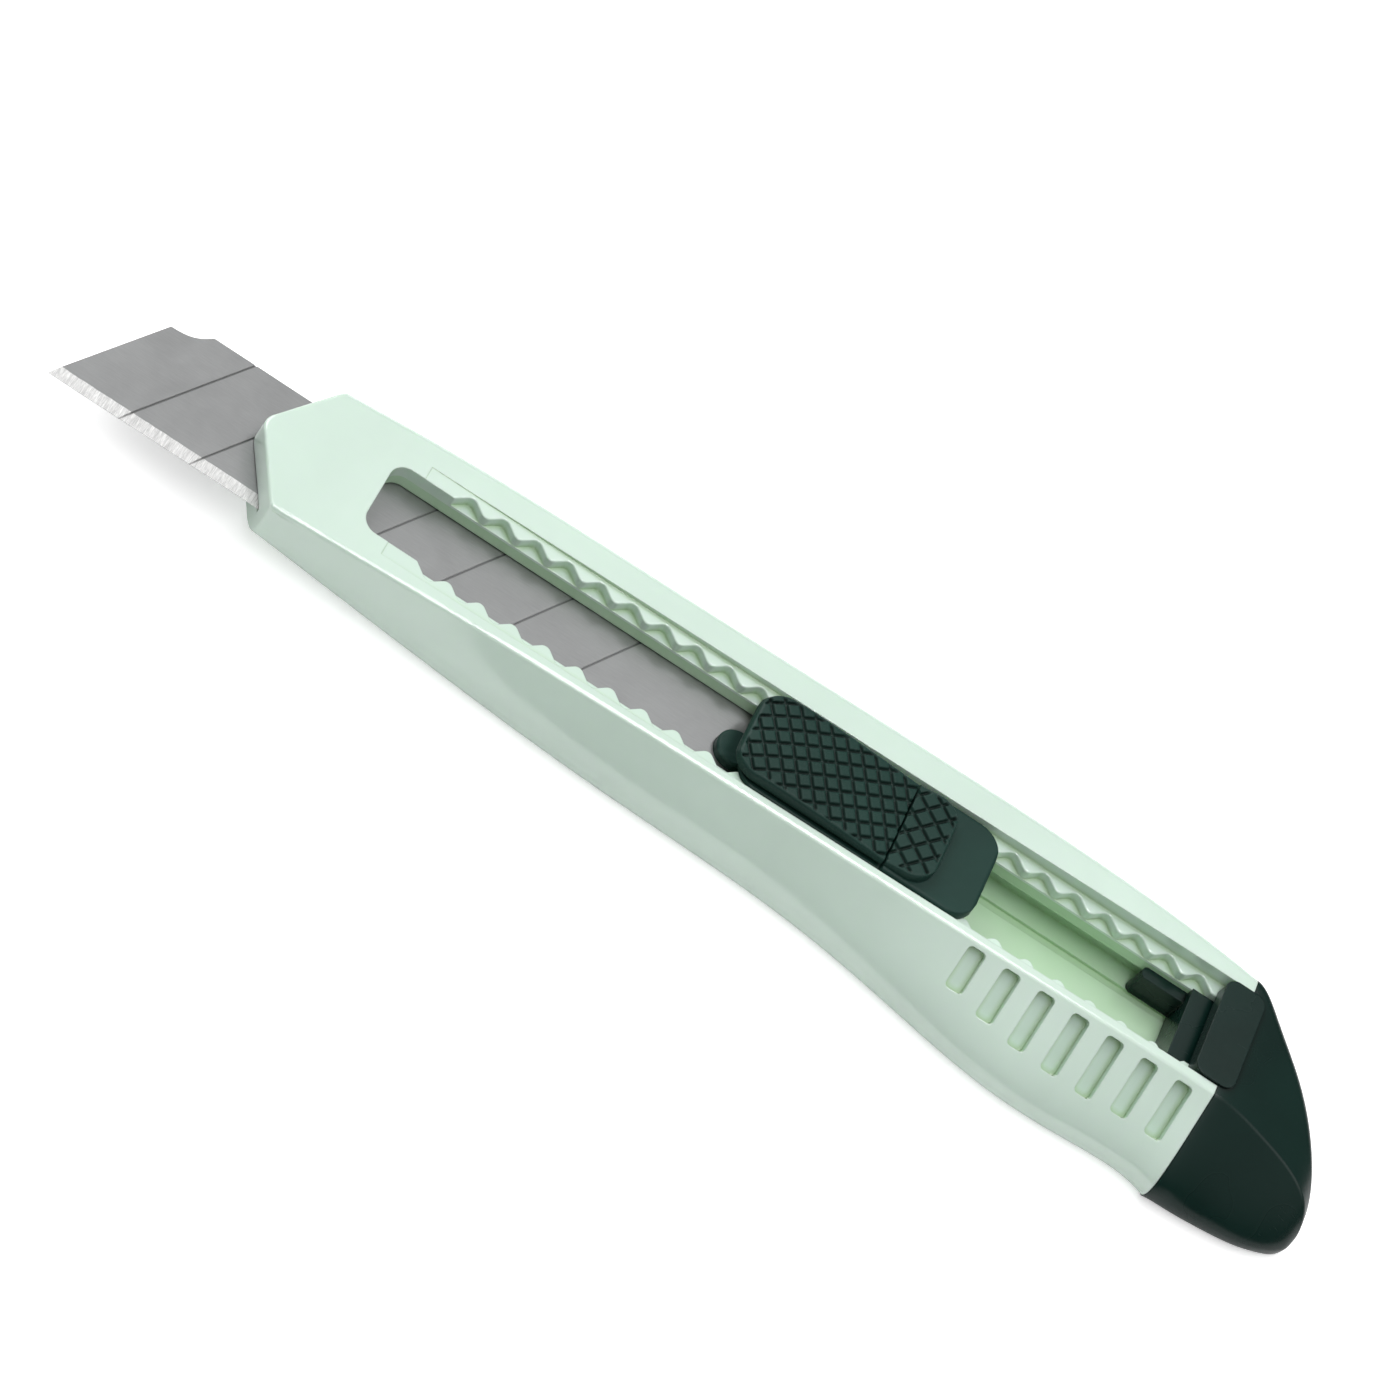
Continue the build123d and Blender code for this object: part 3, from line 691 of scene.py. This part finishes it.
class KNIFE_OT_slider(Operator):
    """Builds the slider's plate, its neck and pegs, and the grooved rear block"""

    bl_idname = "knife.slider"
    bl_label = "Slider"

    def execute(self, context):
        sizes = context.scene.knife_sizes
        plastic = finish("slider_moulding", slider_finish, context.scene.knife_colours)
        plate = bmesh.new()
        add_block(plate, {
            "front": PLATE_FRONT_X, "rear": PLATE_REAR_X, "half": PLATE_HALF,
            "front_corner": GRIP_CORNER, "rear_corner": 3.6 * MM, "rim": 0.3 * MM, "crown": 0.0,
            "profile": plate_profile, "flare": 0.1 * MM, "foot": PLATE_BOTTOM_Z, "step": 0.25 * MM,
        })
        add_bar(plate, NECK_LOW, NECK_HIGH, 0.2 * MM)
        for x in PEG_XS:
            add_pin(plate, x, PEG_RADIUS, PEG_LOW_Z, PEG_HIGH_Z)
        finish_piece("slider_plate", plate, plastic, "slider", "slider_plastic", "slider_base")
        block = bmesh.new()
        add_block(block, {
            "front": REAR_BLOCK_FRONT_X, "rear": REAR_BLOCK_END_X, "half": GRIP_HALF,
            "front_corner": 0.0, "rear_corner": GRIP_CORNER, "rim": 0.35 * MM, "crown": GRIP_CROWN,
            "profile": rear_profile, "pitch": sizes.rear_pitch, "turn": sizes.rear_turn,
            "width": sizes.groove_width, "depth": sizes.groove_depth, "flare": GRIP_FLARE,
            "foot": REAR_BLOCK_BOTTOM_Z, "step": sizes.grip_step,
        })
        finish_piece("slider_rear_block", block, plastic, "slider", "slider_plastic")
        return {"FINISHED"}


class KNIFE_OT_cap(Operator):
    """Gives the end cap its dark green plastic"""

    bl_idname = "knife.cap"
    bl_label = "End cap"

    def execute(self, context):
        dress("end_cap", finish("cap_moulding", cap_finish, context.scene.knife_colours))
        return {"FINISHED"}


class KNIFE_OT_stage(Operator):
    """Lays the pale floor and sets the soft studio lights and the camera"""

    bl_idname = "knife.stage"
    bl_label = "Stage"

    def execute(self, context):
        scene = context.scene
        lay_floor(scene)
        set_lights(scene)
        aim_camera(scene)
        return {"FINISHED"}


def lay_floor(scene):
    """Wide pale floor just under the knife. The camera sees it brighter, so that shadows stay faint."""
    mesh = bpy.data.meshes.new("floor")
    shape = bmesh.new()
    bmesh.ops.create_grid(shape, x_segments=8, y_segments=8, size=3.0)
    shape.to_mesh(mesh)
    shape.free()
    floor = bpy.data.objects.new("floor", mesh)
    floor.location.z = -0.02 * MM
    scene.collection.objects.link(floor)
    material, tree, shader = start_material("floor_paint")
    where = place(tree, "ShaderNodeTexCoord").outputs["Object"]
    cloud = place(tree, "ShaderNodeTexNoise", Vector=where, Scale=1.2, Detail=2.0)
    tone = mix_colours(tree, cloud.outputs["Fac"], [0.93, 0.93, 0.93, 1.0], [0.95, 0.95, 0.95, 1.0])
    tree.links.new(tone, shader.inputs["Base Color"])
    shader.inputs["Roughness"].default_value = 0.9
    shader.inputs["Specular IOR Level"].default_value = 0.1
    seen = place(tree, "ShaderNodeLightPath").outputs["Is Camera Ray"]
    shine = mix_colours(tree, seen, [*(FLOOR_GLOW_UNSEEN,) * 3, 1.0], [1.0, 1.0, 1.0, 1.0])
    tree.links.new(shine, shader.inputs["Emission Color"])
    shader.inputs["Emission Strength"].default_value = FLOOR_GLOW
    floor.data.materials.append(material)


def soft_light(scene, name, place_at, power, width, height):
    """Rectangular studio light aimed at the origin."""
    data = bpy.data.lights.new(name, "AREA")
    data.shape = "RECTANGLE"
    data.size = width
    data.size_y = height
    data.energy = power
    lamp = bpy.data.objects.new(name, data)
    lamp.location = place_at
    lamp.rotation_euler = (-Vector(place_at)).to_track_quat("-Z", "Y").to_euler()
    scene.collection.objects.link(lamp)


def set_lights(scene):
    """White ceiling over dim walls, a broad key behind, a side light and a strip overhead."""
    world = bpy.data.worlds.new("studio")
    world.use_nodes = True
    tree = world.node_tree
    ambient = tree.nodes["Background"]
    ambient.inputs["Color"].default_value = (1.0, 1.0, 1.0, 1.0)
    towards = place(tree, "ShaderNodeTexCoord").outputs["Generated"]
    upward = place(tree, "ShaderNodeSeparateXYZ", Vector=towards)
    rise = sums(tree, "MAXIMUM", upward.outputs["Z"], 0.0)
    glow = sums(tree, "MULTIPLY_ADD", sums(tree, "MULTIPLY", rise, rise), CEILING_GLOW, WALL_GLOW)
    tree.links.new(glow, ambient.inputs["Strength"])
    scene.world = world
    for name, place_at, power, width, height in LIGHTS:
        soft_light(scene, name, place_at, power, width, height)
    scene.view_settings.view_transform = "Standard"


def aim_camera(scene):
    """Long lens from in front and above, rolled so that the knife lies corner to corner."""
    data = bpy.data.cameras.new("camera")
    data.lens = CAMERA_LENS
    data.sensor_width = 36.0
    data.clip_start = 0.01
    camera = bpy.data.objects.new("camera", data)
    camera.location = Vector(CAMERA_AT) * MM
    camera.rotation_euler = Euler([math.radians(angle) for angle in CAMERA_TURN])
    scene.collection.objects.link(camera)
    scene.camera = camera


class KNIFE_PT_pieces(Panel):
    """Lists the knife's pieces, sizes and colours"""

    bl_idname = "KNIFE_PT_pieces"
    bl_label = "Snap-off knife"
    bl_space_type = "VIEW_3D"
    bl_region_type = "UI"
    bl_category = "Knife"

    def draw(self, context):
        for operator in OPERATORS:
            self.layout.operator(operator.bl_idname)
        for group in (context.scene.knife_sizes, context.scene.knife_colours):
            for name in group.__annotations__:
                self.layout.prop(group, name)


OPERATORS = (
    KNIFE_OT_handle, KNIFE_OT_blade, KNIFE_OT_carrier, KNIFE_OT_slider, KNIFE_OT_button,
    KNIFE_OT_cap, KNIFE_OT_stage,
)
CLASSES = (KnifeSizes, KnifeColours, *OPERATORS, KNIFE_PT_pieces)


def register():
    for item in CLASSES:
        bpy.utils.register_class(item)
    bpy.types.Scene.knife_sizes = PointerProperty(type=KnifeSizes)
    bpy.types.Scene.knife_colours = PointerProperty(type=KnifeColours)


def unregister():
    del bpy.types.Scene.knife_colours
    del bpy.types.Scene.knife_sizes
    for item in reversed(CLASSES):
        bpy.utils.unregister_class(item)


def main():
    register()
    for call in (
        bpy.ops.knife.handle, bpy.ops.knife.blade, bpy.ops.knife.carrier, bpy.ops.knife.slider,
        bpy.ops.knife.button, bpy.ops.knife.cap, bpy.ops.knife.stage,
    ):
        call()


if __name__ == "__main__":
    main()
